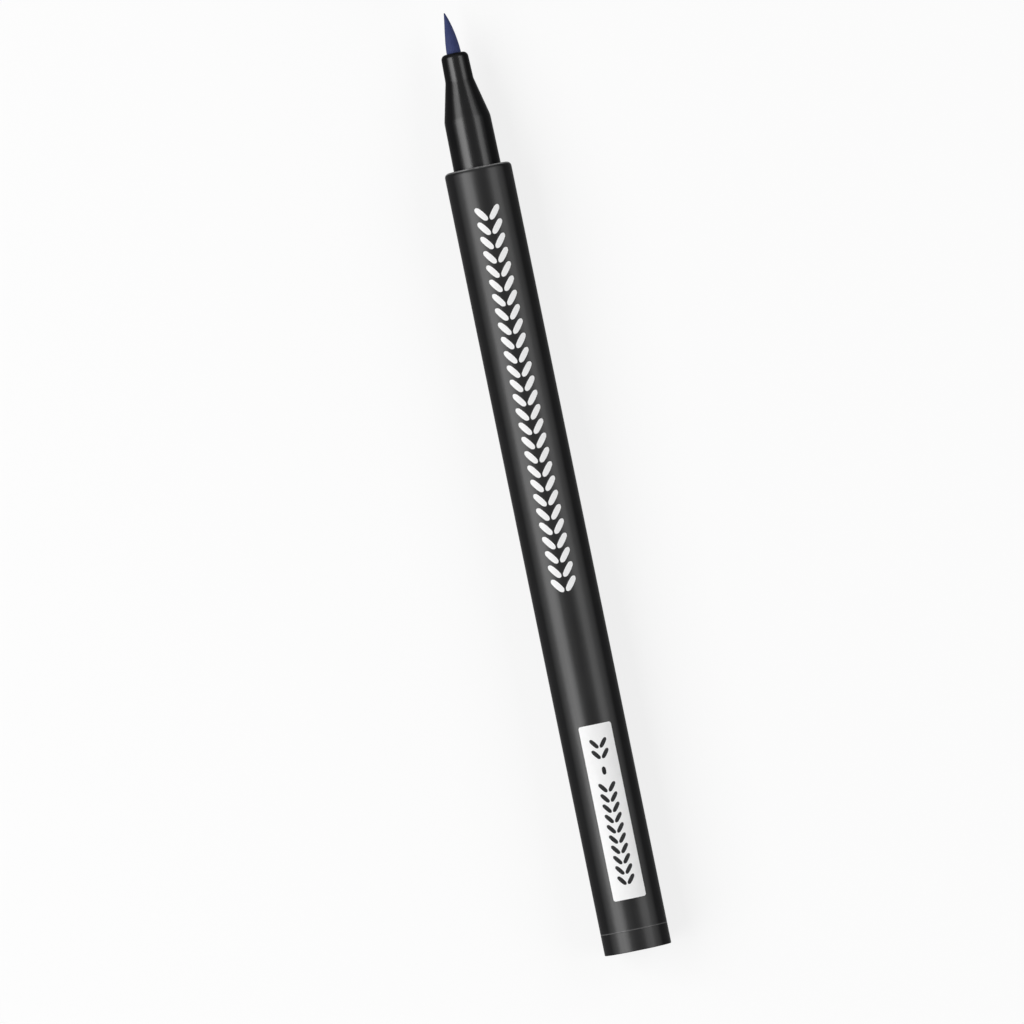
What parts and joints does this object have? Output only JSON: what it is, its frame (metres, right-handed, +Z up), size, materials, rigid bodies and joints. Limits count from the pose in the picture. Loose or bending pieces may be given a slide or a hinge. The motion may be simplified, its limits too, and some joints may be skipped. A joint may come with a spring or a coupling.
{
  "type": "fabric marker",
  "caption": "Slim round brush-tip fabric marker, lying open, with a stepped front section, an ink tank barrel, a tail plug and a pull-off cap that slides on over the nib.",
  "frame": {"origin": "centre of the tail plug's flat end face, on the marker's axis, which lies one barrel radius above the table", "axes": "+X along the marker's axis from tail to nib, +Z up with the label on top, the cap in line beyond the nib"},
  "size_m": [0.178, 0.01, 0.0101],
  "materials": {
    "barrel": "satin black moulded plastic",
    "tail_plug": "satin black moulded plastic",
    "front_section": "satin black moulded plastic, a little glossier than the barrel",
    "brush_nib": "fine fibre soaked with deep blue ink",
    "nib_holder": "natural moulded plastic",
    "feed_wick": "bonded polyester fibre soaked with ink",
    "ink_collector": "natural moulded plastic",
    "mixing_ball": "plain steel",
    "label": "smooth white sticker",
    "cap": "satin black moulded plastic",
    "inner_cap": "grey moulded plastic"
  },
  "bodies": {
    "marker": {"barrel": "barrel", "tail_plug": "tail_plug", "front_section": "front_section", "brush_nib": "brush_nib", "nib_holder": "nib_holder", "feed_wick": "feed_wick", "ink_collector": "ink_collector", "label": "label"},
    "closing_cap": {"cap": "cap", "inner_cap": "inner_cap"},
    "ball_1": {"mixing_ball_1": "mixing_ball"},
    "ball_2": {"mixing_ball_2": "mixing_ball"}
  },
  "joints": [
    {"name": "cap_slide", "type": "slide", "parent": "marker", "child": "closing_cap", "axis": [-1, 0, 0], "range_m": [0, 0.0301]},
    {"name": "ball_1_roll", "type": "slide", "parent": "marker", "child": "ball_1", "axis": [1, 0, 0], "range_m": [0, 0.0537]},
    {"name": "ball_2_roll", "type": "slide", "parent": "marker", "child": "ball_2", "axis": [1, 0, 0], "range_m": [0, 0.0537]}
  ],
  "couplings": [
    {"joint": "ball_2_roll", "follows": "ball_1_roll", "ratio": 1}
  ]
}
